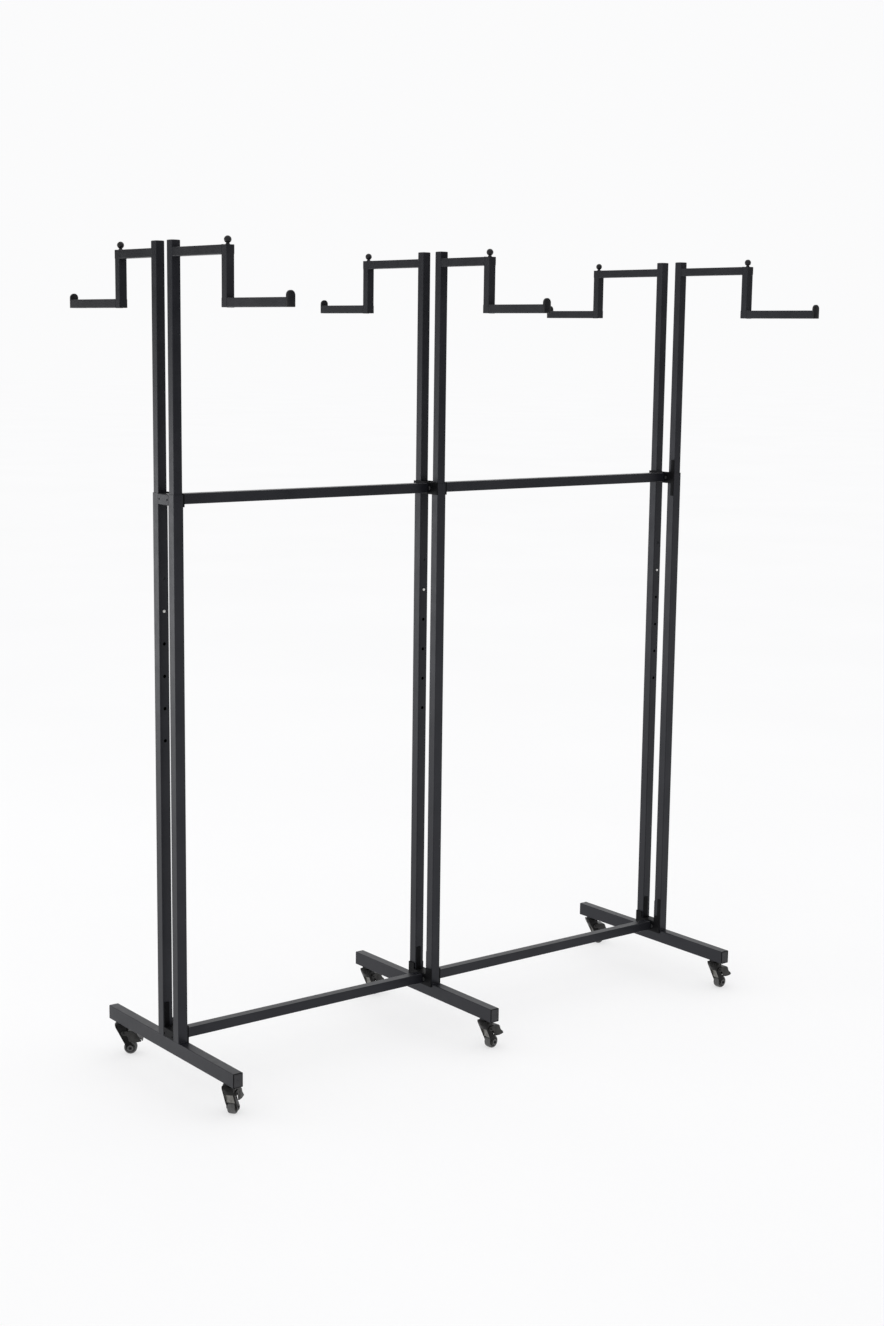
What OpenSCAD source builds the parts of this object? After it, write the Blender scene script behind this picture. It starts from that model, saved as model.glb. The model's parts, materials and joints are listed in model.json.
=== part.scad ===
// Rolling clothes rack: three feet on swivel casters, six telescopic masts with stepped hanging arms.
// +X runs along the crossbars, -Y is the front, +Z is up and the floor is z = 0. Millimetres.

/* [Frame] */
// Side of the square outer upright tubes
upright_w = 25; // [24:0.5:30]
// Front upright to rear upright, centre to centre
upright_pitch = 69; // [60:1:90]
// Height of the outer uprights above the feet
upright_h = 1274; // [1200:1:1400]
// Left frame to middle frame, centre to centre
left_bay = 740; // [500:2:1000]
// Middle frame to right frame, centre to centre
right_bay = 802; // [500:2:1000]
// Side of the square crossbar tubes
crossbar_w = 24; // [20:0.5:25]
// Height of the centre of the low crossbars above the feet's top faces
low_crossbar_z = 7; // [5:0.5:9]
// Height of the centre of the upper crossbars above the feet's top faces
mid_crossbar_z = 1261; // [1180:1:1261]

/* [Feet] */
// Length of each foot, with its end plugs
foot_l = 575; // [500:5:700]
// Height of the foot tube
foot_h = 34; // [30:1:40]
// Width of the foot tube
foot_w = 25; // [24:0.5:30]

/* [Masts] */
// Side of the square mast tubes
mast_w = 22; // [20:0.5:22]
// Height of the top of the masts above the feet, in the hole they stand in
mast_top = 1829; // [1750:1:1900]
// Length of a mast
mast_l = 880; // [860:5:900]
// Locking holes in each upright
hole_count = 6; // [4:1:7]
// Distance from one locking hole to the next
hole_pitch = 75; // [60:1:80]
// Height of the top locking hole above the feet
top_hole_z = 1080; // [1040:5:1120]
// Diameter of the locking holes
hole_d = 8; // [7.5:0.1:9]
// Diameter of the snap button that locks a mast
button_d = 7; // [6:0.1:7.2]

/* [Arms] */
// Side of the square arm tubes
arm_w = 20; // [16:0.5:20]
// Height of the centre of the upper run above the feet
upper_run_z = 1804; // [1780:1:1810]
// Height of the centre of the lower run above the feet
lower_run_z = 1694; // [1650:1:1720]
// Centres of the front arms' drop tubes, from the rack's middle plane (left, middle, right)
front_drop_y = [259, 219, 277]; // [180:1:300]
// Centres of the rear arms' drop tubes, from the rack's middle plane (left, middle, right)
rear_drop_y = [203, 267, 288]; // [180:1:300]
// Tips of the front arms, from the rack's middle plane (left, middle, right)
front_tip_y = [501, 430, 516]; // [400:1:560]
// Tips of the rear arms, from the rack's middle plane (left, middle, right)
rear_tip_y = [437, 468, 495]; // [400:1:560]
// Diameter of the ball on the corner of the arm
ball_d = 16; // [12:0.5:20]
// How far the end stop stands above the lower run
stop_h = 14; // [8:0.5:20]

/* [Casters] */
// Height from the floor to the foot's underside
caster_h = 80; // [76:1:90]
// Wheel diameter
wheel_d = 32; // [28:1:36]
// Wheel width
wheel_w = 18; // [16:0.5:18]
// Distance from the swivel axis to the wheel axle
trail = 22; // [20:1:24]
// Distance from the swivel axis to the end of the foot
caster_inset = 38; // [18:1:40]
// Where the front casters point at rest, in degrees from +X (left, middle, right)
front_headings = [36, 6, 0]; // [0:1:360]
// Where the rear casters point at rest, in degrees from +X (left, middle, right)
rear_headings = [325, 10, 345]; // [0:1:360]

/* [Hidden] */
FRAMES = ["left", "middle", "right"];
SIDES = ["front", "rear"];
LEVELS = ["low", "upper"];
BAYS = ["left", "right"];

tube_wall = 1.2;
foot_wall = 1.5;
corner_r = 1.8;
inner_fit = 0.3;
plug_t = 2;
cap_t = 6;
plate_t = 3;
eps = 0.05;

foot_top = caster_h + foot_h;
pedal_reach = 53;
// The casters trail to the right, so the middle of the rack's outline lies right of its frames
centre_shift = (right_bay - left_bay) / 2 + (pedal_reach - upright_w / 2) / 2;
frame_x = [-left_bay - centre_shift, -centre_shift, right_bay - centre_shift];
side_sign = [-1, 1];
half_pitch = upright_pitch / 2;
gap = upright_pitch - upright_w;
plate_span = upright_pitch + upright_w;
level_z = [foot_top + low_crossbar_z, foot_top + mid_crossbar_z];
mast_bottom_z = foot_top + mast_top - mast_l;
button_z = foot_top + top_hole_z - hole_pitch;
caster_y = foot_l / 2 - caster_inset;
drop_ys = [front_drop_y, rear_drop_y];
tip_ys = [front_tip_y, rear_tip_y];

// Frame bolts and their places on each end plate
bolt_d = 5;
bolt_head_d = 9;
bolt_head_h = 2.8;
bolt_l = 12;
bolt_y = 17.5;

// Lower bridge between two uprights, and its two upstanding straps
bridge_block_h = 22;
strap_w = 13;
strap_h = 80;
strap_t = 2.5;
strap_x = -4;

// End plate and spigot at each end of a crossbar
spigot_l = 34;
spigot_t = 2;
spigot_play = 0.1;
plate_h = 30;
ear_h = 46;
ear_w = 22;
side_strap_w = 9;
side_strap_h = 96;

// Snap button and its leaf spring
button_proud = 2;
button_press = 3.4;
leaf_t = 0.8;
leaf_w = 12;
leaf_h = 44;
leaf_u = 5.6;

// Caster parts, in the caster's own frame: z = 0 at the foot's underside, wheel towards +x
stem_d = 10;
washer_d = 27;
washer_t = 2;
crown_d = 30;
crown_bottom = -16;
stem_head_d = 18;
stem_head_t = 3;
nut_d = 18;
nut_h = 6;
leg_t = 3;
leg_gap = 20;
boss_r = 7.5;
axle_d = 6;
axle_z = -(caster_h - wheel_d / 2);
rivet_head_d = 10;
rivet_head_t = 2;
waist = [13, -34];
hood_end_z = -27;
pivot = [6, -25.5];
pivot_d = 5;
pedal_hub_d = 11;
pedal_t = 2.4;
cheek_t = 2.2;
cheek_play = 0.4;
running_fit = 0.05;
leg_out = leg_gap / 2 + leg_t;
pedal_half_w = leg_out + cheek_play + cheek_t;

// ---- Shared shapes ----

// A rectangle with true round corners, centred
module round_rect(w, h, r) {
  square([w - 2 * r, h], center = true);
  square([w, h - 2 * r], center = true);
  for (x = [-1, 1], y = [-1, 1])
    translate([x * (w / 2 - r), y * (h / 2 - r)])
      circle(r = r, $fn = 32);
}

// A square or rectangular tube from z = 0 upwards
module tube(w, h, l, wall, r = corner_r) {
  linear_extrude(l)
    difference() {
      round_rect(w, h, r);
      square([w - 2 * wall, h - 2 * wall], center = true);
    }
}

// A rounded bar from z = 0 upwards
module bar(w, h, l, r = corner_r) {
  linear_extrude(l) round_rect(w, h, r);
}

// Turns a shape that rises along z so that it runs along +y
module along_y() {
  rotate([-90, 0, 0]) children();
}

// Turns a shape that rises along z so that it runs along +x
module along_x() {
  rotate([0, 90, 0]) children();
}

// Places a piece of one station: frame f, side s, mirrored so that the piece is drawn for the rear
module at_station(f, s) {
  translate([frame_x[f], 0, 0])
    mirror([0, s == 0 ? 1 : 0, 0])
      children();
}

// ---- Feet ----

module foot(f) {
  color([0.10, 0.10, 0.11])
    translate([frame_x[f], 0, foot_top - foot_h / 2])
      difference() {
        translate([0, -foot_l / 2 + plug_t, 0])
          along_y() tube(foot_w, foot_h, foot_l - 2 * plug_t, foot_wall);
        for (s = side_sign)
          translate([0, s * caster_y, -foot_h / 2 - 1])
            cylinder(d = stem_d + 2 * running_fit, h = foot_wall + 2, $fn = 48);
      }
}

module foot_end_plugs() {
  plug_depth = 8;
  color([0.08, 0.08, 0.08])
    for (x = frame_x, s = [0, 1])
      translate([x, 0, foot_top - foot_h / 2])
        mirror([0, s, 0]) {
          translate([0, foot_l / 2 - plug_t, 0])
            along_y() bar(foot_w, foot_h, plug_t);
          translate([0, foot_l / 2 - plug_t - plug_depth, 0])
            along_y() bar(foot_w - 2 * foot_wall - 0.2, foot_h - 2 * foot_wall - 0.2, plug_depth + eps, 1);
        }
}

// ---- Uprights and what joins them ----

module upright(f, s) {
  color([0.11, 0.11, 0.12])
    at_station(f, s)
      difference() {
        translate([0, half_pitch, foot_top]) tube(upright_w, upright_w, upright_h, tube_wall);
        for (i = [0:hole_count - 1])
          translate([0, gap / 2 - 1, foot_top + top_hole_z - i * hole_pitch])
            along_y() cylinder(d = hole_d, h = tube_wall + 2, $fn = 48);
      }
}

// Bolt holes through both side walls of a bridge, for the bolts of its two end plates
module bridge_bolt_holes(f, z) {
  for (y = [-bolt_y, bolt_y])
    translate([frame_x[f] - upright_w, y, z])
      along_x() cylinder(d = bolt_d + 2 * running_fit, h = 2 * upright_w, $fn = 48);
}

module upper_bridges() {
  color([0.11, 0.11, 0.12])
    for (f = [0:2])
      difference() {
        translate([frame_x[f], -gap / 2, level_z[1]])
          along_y() tube(upright_w, upright_w, gap, tube_wall);
        bridge_bolt_holes(f, level_z[1]);
      }
}

module lower_bridges() {
  color([0.07, 0.07, 0.07])
    for (f = [0:2])
      difference() {
        union() {
          translate([frame_x[f], -gap / 2, foot_top + bridge_block_h / 2])
            along_y() tube(upright_w, bridge_block_h, gap, tube_wall);
          for (s = [0, 1])
            translate([frame_x[f] + strap_x - strap_w / 2, 0, foot_top])
              mirror([0, s, 0])
                translate([0, gap / 2 - strap_t, 0]) cube([strap_w, strap_t, strap_h]);
        }
        bridge_bolt_holes(f, level_z[0]);
      }
}

// ---- Crossbars ----

bay_start = [frame_x[0], frame_x[1]];
bay_l = [left_bay, right_bay];

module crossbar(level, bay) {
  end_gap = upright_w / 2 + plate_t;
  color([0.12, 0.12, 0.13])
    translate([bay_start[bay] + end_gap, 0, level_z[level]])
      along_x() tube(crossbar_w, crossbar_w, bay_l[bay] - 2 * end_gap, tube_wall);
}

// End plate of a crossbar and the spigot inside its tube, for a plate that starts at x = 0 and a crossbar
// towards +x
module bracket(level, side_strap) {
  ear_z = level == 0 ? ear_h : plate_h;
  plate_bottom = -plate_h / 2;
  spigot_w = crossbar_w - 2 * tube_wall - 2 * spigot_play;
  difference() {
    union() {
      translate([0, -plate_span / 2, plate_bottom]) cube([plate_t, plate_span, plate_h]);
      for (s = [0, 1])
        mirror([0, s, 0])
          translate([0, plate_span / 2 - ear_w, plate_bottom]) cube([plate_t, ear_w, ear_z]);
      if (side_strap)
        translate([0, 1 - plate_span / 2, level == 0 ? plate_bottom : -side_strap_h / 2])
          cube([plate_t, side_strap_w, side_strap_h]);
      translate([plate_t - eps, 0, 0])
        along_x() tube(spigot_w, spigot_w, spigot_l, spigot_t);
    }
    for (y = [-bolt_y, bolt_y])
      translate([-1, y, 0])
        along_x() cylinder(d = bolt_d + 2 * running_fit, h = plate_t + 2, $fn = 48);
  }
}

module crossbar_brackets() {
  color([0.06, 0.06, 0.06])
    for (level = [0, 1], bay = [0, 1]) {
      translate([bay_start[bay] + upright_w / 2, 0, level_z[level]])
        bracket(level, false);
      translate([bay_start[bay] + bay_l[bay] - upright_w / 2, 0, level_z[level]])
        mirror([1, 0, 0]) bracket(level, bay == 1);
    }
}

// ---- Bolts, and the caster stems with their nuts ----

// Button-head bolt with its head's seat at x = 0 and its shank towards -x
module bolt() {
  rotate([0, -90, 0]) cylinder(d = bolt_d, h = bolt_l, $fn = 48);
  rotate([0, 90, 0]) cylinder(d = bolt_head_d, h = bolt_head_h - 1, $fn = 48);
  translate([bolt_head_h - 1, 0, 0])
    rotate([0, 90, 0]) cylinder(d1 = bolt_head_d, d2 = bolt_head_d - 3, h = 1, $fn = 48);
}

module caster_stem() {
  translate([0, 0, crown_bottom - 2 * inner_fit])
    cylinder(d = stem_d, h = -crown_bottom + foot_wall + nut_h + 4, $fn = 48);
  translate([0, 0, -washer_t]) cylinder(d = washer_d, h = washer_t, $fn = 64);
  translate([0, 0, crown_bottom - inner_fit - stem_head_t])
    cylinder(d = stem_head_d, h = stem_head_t, $fn = 48);
}

module stem_nut() {
  translate([0, 0, foot_wall])
    difference() {
      cylinder(d = nut_d, h = nut_h, $fn = 6);
      translate([0, 0, -1]) cylinder(d = stem_d + 2 * running_fit, h = nut_h + 2, $fn = 48);
    }
}

module frame_fasteners() {
  color([0.16, 0.16, 0.17]) {
    for (level = [0, 1], bay = [0, 1], y = [-bolt_y, bolt_y]) {
      translate([bay_start[bay] + upright_w / 2 + plate_t, y, level_z[level]])
        bolt();
      translate([bay_start[bay] + bay_l[bay] - upright_w / 2 - plate_t, y, level_z[level]])
        mirror([1, 0, 0]) bolt();
    }
    for (x = frame_x, s = side_sign)
      translate([x, s * caster_y, caster_h]) {
        caster_stem();
        stem_nut();
      }
  }
}

// ---- Masts, arms, stops and snap buttons ----

module mast(f, s) {
  plug_depth = 10;
  color([0.11, 0.11, 0.12])
    at_station(f, s) {
      difference() {
        translate([0, half_pitch, mast_bottom_z])
          tube(mast_w, mast_w, mast_l - plug_t - eps, tube_wall, 1.5);
        translate([0, half_pitch - mast_w / 2 - 1, button_z])
          along_y() cylinder(d = button_d + 2 * running_fit, h = tube_wall + 2, $fn = 48);
      }
      translate([0, half_pitch, foot_top + mast_top - plug_t]) {
        bar(mast_w, mast_w, plug_t, 1.5);
        translate([0, 0, -plug_depth])
          bar(mast_w - 2 * tube_wall - 0.2, mast_w - 2 * tube_wall - 0.2, plug_depth + eps, 1);
      }
    }
}

// The stepped arm's three runs as bars of a square section, w across, with their open ends longer by extra
module arm_runs(f, s, w, extra) {
  start_y = half_pitch + mast_w / 2;
  drop_y = drop_ys[s][f];
  end_y = tip_ys[s][f] - cap_t;
  translate([0, start_y - extra, foot_top + upper_run_z])
    along_y() bar(w, w, drop_y - start_y + w / 2 + extra, 1.5);
  translate([0, drop_y, foot_top + lower_run_z - w / 2])
    bar(w, w, upper_run_z - lower_run_z + w, 1.5);
  translate([0, drop_y - w / 2, foot_top + lower_run_z])
    along_y() bar(w, w, end_y - drop_y + w / 2 + extra, 1.5);
}

module arm(f, s) {
  color([0.12, 0.12, 0.13])
    at_station(f, s)
      difference() {
        arm_runs(f, s, arm_w, 0);
        arm_runs(f, s, arm_w - 2 * tube_wall, 1);
      }
}

module arm_stops(f, s) {
  neck_d = 10;
  neck_h = 4;
  plug_depth = 12;
  tip_y = tip_ys[s][f];
  arm_top = foot_top + lower_run_z + arm_w / 2;
  corner_top = foot_top + upper_run_z + arm_w / 2;
  color([0.05, 0.05, 0.05])
    at_station(f, s) {
      // End cap: a plug in the tube, its flange, and a round-topped tongue above the arm
      translate([0, tip_y - cap_t, foot_top + lower_run_z])
        along_y() bar(arm_w, arm_w, cap_t, 1.5);
      translate([0, tip_y - cap_t - plug_depth, foot_top + lower_run_z])
        along_y() bar(arm_w - 2 * tube_wall - 0.2, arm_w - 2 * tube_wall - 0.2, plug_depth + eps, 1);
      difference() {
        translate([0, tip_y, arm_top + stop_h - arm_w / 2])
          rotate([90, 0, 0]) cylinder(d = arm_w, h = cap_t, $fn = 64);
        translate([-arm_w, tip_y - cap_t - 1, arm_top - arm_w]) cube([2 * arm_w, cap_t + 2, arm_w]);
      }
      if (stop_h > arm_w / 2)
        translate([-arm_w / 2, tip_y - cap_t, arm_top]) cube([arm_w, cap_t, stop_h - arm_w / 2]);
      translate([-arm_w / 2, tip_y - cap_t, arm_top - 3]) cube([arm_w, cap_t, 3 + eps]);
      // Ball on a short neck over the corner of the arm
      translate([0, drop_ys[s][f], corner_top]) {
        cylinder(d = neck_d, h = neck_h, $fn = 48);
        translate([0, 0, neck_h - 1.5 + ball_d / 2]) sphere(d = ball_d, $fn = 48);
      }
    }
}

// Snap button: a round-nosed pin on a bent leaf spring that lies inside the mast
module snap_button(f, s) {
  nose_r = 1.6;
  pin_out = upright_w / 2 + button_proud;
  color([0.80, 0.80, 0.78])
    at_station(f, s)
      translate([0, half_pitch, button_z]) {
        rotate([90, 0, 0])
          rotate_extrude($fn = 48) {
            square([button_d / 2 - nose_r, pin_out]);
            square([button_d / 2, pin_out - nose_r]);
            translate([button_d / 2 - nose_r, pin_out - nose_r]) circle(r = nose_r, $fn = 32);
          }
        translate([-leaf_w / 2, -leaf_u - leaf_t, -leaf_h]) cube([leaf_w, leaf_t, leaf_h + leaf_w / 2]);
        translate([-leaf_w / 2, -leaf_u - leaf_t, -leaf_h]) cube([leaf_w, 2 * leaf_u, leaf_t]);
        translate([-leaf_w / 2, leaf_u - 2 * leaf_t, -leaf_h]) cube([leaf_w, leaf_t, leaf_h - 6]);
      }
}

// ---- Casters ----

module at_caster(f, s) {
  heading = s == 0 ? front_headings[f] : rear_headings[f];
  translate([frame_x[f], side_sign[s] * caster_y, caster_h])
    rotate([0, 0, heading])
      children();
}

// One fork leg's outline in the caster's x-z plane
module leg_outline() {
  polygon([
    [-crown_d / 2, -4],
    [crown_d / 2 - 1, -4],
    waist,
    [trail + boss_r * 0.92, axle_z + boss_r * 0.28],
    [trail - boss_r * 0.86, axle_z - boss_r * 0.40]
  ]);
  translate([trail, axle_z]) circle(r = boss_r, $fn = 64);
}

// Sheet that closes the fork's leading side, between its legs
module hood_outline() {
  set_back = 0.8;
  hood_t = 2.5;
  lean = (trail - boss_r * 0.86 + crown_d / 2) / (axle_z - boss_r * 0.40 + 4);
  top_x = -crown_d / 2 + set_back;
  hood_x = top_x + lean * (hood_end_z + 5);
  polygon([[top_x, -5], [top_x + hood_t + 3, -5], [hood_x + hood_t, hood_end_z], [hood_x, hood_end_z]]);
}

// A flat outline in the x-z plane, w thick about y = 0
module across(w) {
  translate([0, w / 2, 0])
    rotate([90, 0, 0])
      linear_extrude(w) children();
}

module caster_yoke(f, s) {
  color([0.10, 0.10, 0.10])
    at_caster(f, s) {
      difference() {
        union() {
          translate([0, 0, crown_bottom])
            cylinder(d = crown_d, h = -crown_bottom - washer_t - inner_fit, $fn = 64);
          for (y = [-1, 1])
            translate([0, y * (leg_gap + leg_t) / 2, 0]) across(leg_t) leg_outline();
          across(leg_gap + leg_t) hood_outline();
        }
        translate([0, 0, crown_bottom - 1])
          cylinder(d = stem_d + 2 * running_fit, h = -crown_bottom, $fn = 48);
        // Room for the stem's head under the crown
        translate([0, 0, crown_bottom - stem_head_t - 3])
          cylinder(d = stem_head_d + 1, h = stem_head_t + 3, $fn = 48);
        translate([trail, 0, axle_z])
          rotate([90, 0, 0])
            cylinder(d = axle_d + 2 * running_fit, h = 2 * leg_gap, center = true, $fn = 48);
        translate([pivot[0], 0, pivot[1]])
          rotate([90, 0, 0])
            cylinder(d = pivot_d + 2 * running_fit, h = 2 * leg_gap, center = true, $fn = 48);
      }
      // Riveted axle and pedal pivot
      translate([trail, 0, axle_z]) rivet(axle_d, rivet_head_d, leg_out);
      translate([pivot[0], 0, pivot[1]]) rivet(pivot_d, rivet_head_d - 3, pedal_half_w);
    }
}

// A rivet across the fork, with its heads beyond half_w on both sides
module rivet(d, head_d, half_w) {
  out = half_w + eps;
  rotate([90, 0, 0]) {
    cylinder(d = d, h = 2 * out, center = true, $fn = 48);
    for (z = [-out - rivet_head_t, out])
      translate([0, 0, z]) cylinder(d = head_d, h = rivet_head_t, $fn = 48);
  }
}

module caster_wheel(f, s) {
  tread_r = 2.5;
  hub_r = 6;
  recess_r = 11;
  recess = 2;
  color([0.09, 0.09, 0.09])
    at_caster(f, s)
      translate([trail, 0, axle_z])
        rotate([90, 0, 0])
          rotate_extrude($fn = 96)
            difference() {
              union() {
                translate([0, -wheel_w / 2]) square([wheel_d / 2 - tread_r, wheel_w]);
                translate([0, -wheel_w / 2 + tread_r]) square([wheel_d / 2, wheel_w - 2 * tread_r]);
                for (y = [-1, 1])
                  translate([wheel_d / 2 - tread_r, y * (wheel_w / 2 - tread_r)])
                    circle(r = tread_r, $fn = 48);
              }
              translate([-1, -wheel_w]) square([1 + axle_d / 2 + running_fit, 2 * wheel_w]);
              for (y = [-wheel_w / 2 - 1, wheel_w / 2 - recess])
                translate([hub_r, y]) square([recess_r - hub_r, recess + 1]);
            }
}

// Top edge of the pedal, from the fork out over the wheel and down its hollow end to the lip
pedal_edge = [
  [waist[0] + 4, -19.5],
  [pedal_reach - 17, -21.5],
  [pedal_reach - 11.5, -34],
  [pedal_reach - 1, -42.5],
  [pedal_reach, -45],
  [pedal_reach - 3, -46.5]
];

// The plate under that edge
module pedal_plate_outline() {
  polygon(concat(pedal_edge, [
    [pedal_reach - 13.8, -35.4],
    [pedal_reach - 18.7, -21.5 - pedal_t],
    [waist[0] + 4, -19.5 - pedal_t]
  ]));
}

// One of the cheeks that hang from the plate beside the wheel and reach back to the pivot
module cheek_outline() {
  polygon(concat(pedal_edge, [
    [pedal_reach - 13, -48],
    [waist[0] + 5, -46],
    [waist[0] + 2, -32],
    [pivot[0], pivot[1] - pedal_hub_d / 2 + 0.5],
    [pivot[0], pivot[1] + pedal_hub_d / 2 - 0.5]
  ]));
  translate(pivot) circle(d = pedal_hub_d, $fn = 48);
}

module brake_pedal(f, s) {
  shoe = [5, 14];
  shoe_x = 23;
  shoe_top = -21;
  shoe_bottom = axle_z + wheel_d / 2 + 4.5;
  color([0.12, 0.12, 0.12])
    at_caster(f, s)
      difference() {
        union() {
          across(2 * pedal_half_w) pedal_plate_outline();
          for (y = [-1, 1])
            translate([0, y * (pedal_half_w - cheek_t / 2), 0]) across(cheek_t) cheek_outline();
          // Shoe that the pedal brings down to the tread
          translate([shoe_x, -shoe[1] / 2, shoe_bottom]) cube([shoe[0], shoe[1], shoe_top - shoe_bottom]);
        }
        translate([pivot[0], 0, pivot[1]])
          rotate([90, 0, 0])
            cylinder(d = pivot_d + 2 * running_fit, h = 2 * pedal_half_w + 2, center = true, $fn = 48);
      }
}

// ---- The rack ----

for (f = [0:2])
  foot(f);
foot_end_plugs();
for (f = [0:2], s = [0, 1])
  upright(f, s);
upper_bridges();
lower_bridges();
for (level = [0, 1], bay = [0, 1])
  crossbar(level, bay);
crossbar_brackets();
frame_fasteners();
for (f = [0:2], s = [0, 1])
  mast(f, s);
for (f = [0:2], s = [0, 1])
  arm(f, s);
for (f = [0:2], s = [0, 1])
  arm_stops(f, s);
for (f = [0:2], s = [0, 1])
  snap_button(f, s);
for (f = [0:2], s = [0, 1])
  caster_yoke(f, s);
for (f = [0:2], s = [0, 1])
  caster_wheel(f, s);
for (f = [0:2], s = [0, 1])
  brake_pedal(f, s);
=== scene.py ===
"""Looks for the rolling clothes rack: powder-coated tubes, moulded caps and stops, and braked casters."""

import json
import math

import bmesh
import bpy
from mathutils import Matrix, Vector


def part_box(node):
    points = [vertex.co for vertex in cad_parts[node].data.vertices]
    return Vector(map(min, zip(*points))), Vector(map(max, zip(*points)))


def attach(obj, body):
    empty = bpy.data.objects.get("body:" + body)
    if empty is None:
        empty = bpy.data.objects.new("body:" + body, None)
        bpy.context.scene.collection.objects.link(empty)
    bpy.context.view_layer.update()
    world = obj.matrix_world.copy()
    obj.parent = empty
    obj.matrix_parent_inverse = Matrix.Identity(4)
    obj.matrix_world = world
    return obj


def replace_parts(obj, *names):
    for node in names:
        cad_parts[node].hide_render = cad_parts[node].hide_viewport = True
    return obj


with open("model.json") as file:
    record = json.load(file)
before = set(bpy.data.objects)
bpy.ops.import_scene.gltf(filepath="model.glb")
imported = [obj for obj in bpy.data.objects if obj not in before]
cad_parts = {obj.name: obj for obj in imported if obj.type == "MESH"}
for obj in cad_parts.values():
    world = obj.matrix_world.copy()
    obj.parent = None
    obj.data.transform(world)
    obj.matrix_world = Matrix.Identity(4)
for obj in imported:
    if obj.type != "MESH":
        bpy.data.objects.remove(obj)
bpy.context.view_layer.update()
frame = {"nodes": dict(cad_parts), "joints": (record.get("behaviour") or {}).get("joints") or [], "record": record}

MM = 0.001
STATIONS = [(f, s) for f in ("left", "middle", "right") for s in ("front", "rear")]
JOINTS = {joint["name"]: joint for joint in frame["joints"]}

# Sizes shared by several pieces, in millimetres
ARM_W = 20.0
UPRIGHT_W = 25.0
TUBE_CORNER = 1.8
FOOT_W = 25.0
FOOT_H = 34.0
BOLT_HEAD_H = 2.8

# Caster sizes, in the caster's own frame: z = 0 under the foot, the wheel towards +x
CROWN_R = 15.0
CROWN_TOP = -2.3
CROWN_BOTTOM = -16.0
STEM_BORE_R = 5.05
LEG_IN = 10.0
LEG_OUT = 13.0
BOSS_R = 7.5
CHEEK_IN = 13.4
PEDAL_HALF_W = 15.6
PEDAL_REACH = 53.0
WHEEL_R = 16.0
WHEEL_W = 18.0
AXLE_R = 3.0
PIVOT_R = 2.5


# ---- Meshes ----

def new_piece(name, bm, material, body, smooth_angle=35.0):
    """Turns a bmesh drawn in millimetres into a finished piece that rides on a body."""
    bmesh.ops.remove_doubles(bm, verts=bm.verts, dist=1e-4)
    bmesh.ops.recalc_face_normals(bm, faces=bm.faces)
    bmesh.ops.scale(bm, vec=(MM, MM, MM), verts=bm.verts)
    mesh = bpy.data.meshes.new(name)
    bm.to_mesh(mesh)
    bm.free()
    mesh.materials.append(material)
    mesh.shade_smooth()
    mesh.set_sharp_from_angle(angle=math.radians(smooth_angle))
    piece = bpy.data.objects.new(name, mesh)
    bpy.context.scene.collection.objects.link(piece)
    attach(piece, body)
    return piece


def join(parts):
    """One bmesh from several."""
    whole = bmesh.new()
    for part in parts:
        mesh = bpy.data.meshes.new("part")
        part.to_mesh(mesh)
        part.free()
        whole.from_mesh(mesh)
        bpy.data.meshes.remove(mesh)
    return whole


def placed(bm, matrix):
    bmesh.ops.transform(bm, matrix=matrix, verts=bm.verts)
    return bm


def bevelled(bm, width, segments=2, angle=30.0):
    """Rounds the edges that are sharper than an angle."""
    bmesh.ops.remove_doubles(bm, verts=bm.verts, dist=1e-4)
    bmesh.ops.recalc_face_normals(bm, faces=bm.faces)
    sharp = [e for e in bm.edges if e.is_manifold and e.calc_face_angle(0.0) > math.radians(angle)]
    bmesh.ops.bevel(bm, geom=sharp, offset=width, segments=segments, profile=0.5, affect="EDGES",
                    clamp_overlap=True)
    return bm


def rings(loops, closed=False):
    """A skin over a list of loops of points, capped at both ends unless it closes on itself."""
    bm = bmesh.new()
    rows = [[bm.verts.new(p) for p in loop] for loop in loops]
    pairs = list(zip(rows, rows[1:]))
    if closed:
        pairs.append((rows[-1], rows[0]))
    for low, high in pairs:
        for i in range(len(low)):
            k = (i + 1) % len(low)
            bm.faces.new((low[i], low[k], high[k], high[i]))
    if not closed:
        bm.faces.new(rows[0][::-1])
        bm.faces.new(rows[-1])
    return bm


def lathe(profile, steps=64, closed=True):
    """Turns (radius, height) points about the z axis."""
    loops = []
    for radius, z in profile:
        angles = [2 * math.pi * i / steps for i in range(steps)]
        loops.append([(radius * math.cos(a), radius * math.sin(a), z) for a in angles])
    return rings(loops, closed)


def prism(outline, y0, y1):
    """A flat outline in the x-z plane, from y0 to y1."""
    return rings([[(x, y0, z) for x, z in outline], [(x, y1, z) for x, z in outline]])


def rounded_block(size, radius):
    """A block centred on the origin with its edges rounded."""
    bm = bmesh.new()
    bmesh.ops.create_cube(bm, size=1.0)
    bmesh.ops.scale(bm, vec=size, verts=bm.verts)
    return bevelled(bm, radius, 2)


def rounded_rect(w, h, r, steps=6):
    """Points round a rectangle with round corners, centred."""
    points = []
    for cx, cy, start in ((1, 1, 0), (-1, 1, 90), (-1, -1, 180), (1, -1, 270)):
        for i in range(steps + 1):
            a = math.radians(start + 90 * i / steps)
            points.append((cx * (w / 2 - r) + r * math.cos(a), cy * (h / 2 - r) + r * math.sin(a)))
    return points


def spline(points, steps):
    """Points along a smooth curve through the given ones."""
    knots = [Vector(p) for p in points]
    knots = [2 * knots[0] - knots[1]] + knots + [2 * knots[-1] - knots[-2]]
    curve = []
    for i in range(1, len(knots) - 2):
        a, b, c, d = knots[i - 1:i + 3]
        for k in range(steps):
            t = k / steps
            curve.append(0.5 * ((2 * b) + (c - a) * t + (2 * a - 5 * b + 4 * c - d) * t * t
                                + (3 * b - a - 3 * c + d) * t * t * t))
    curve.append(knots[-2])
    return curve


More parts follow.
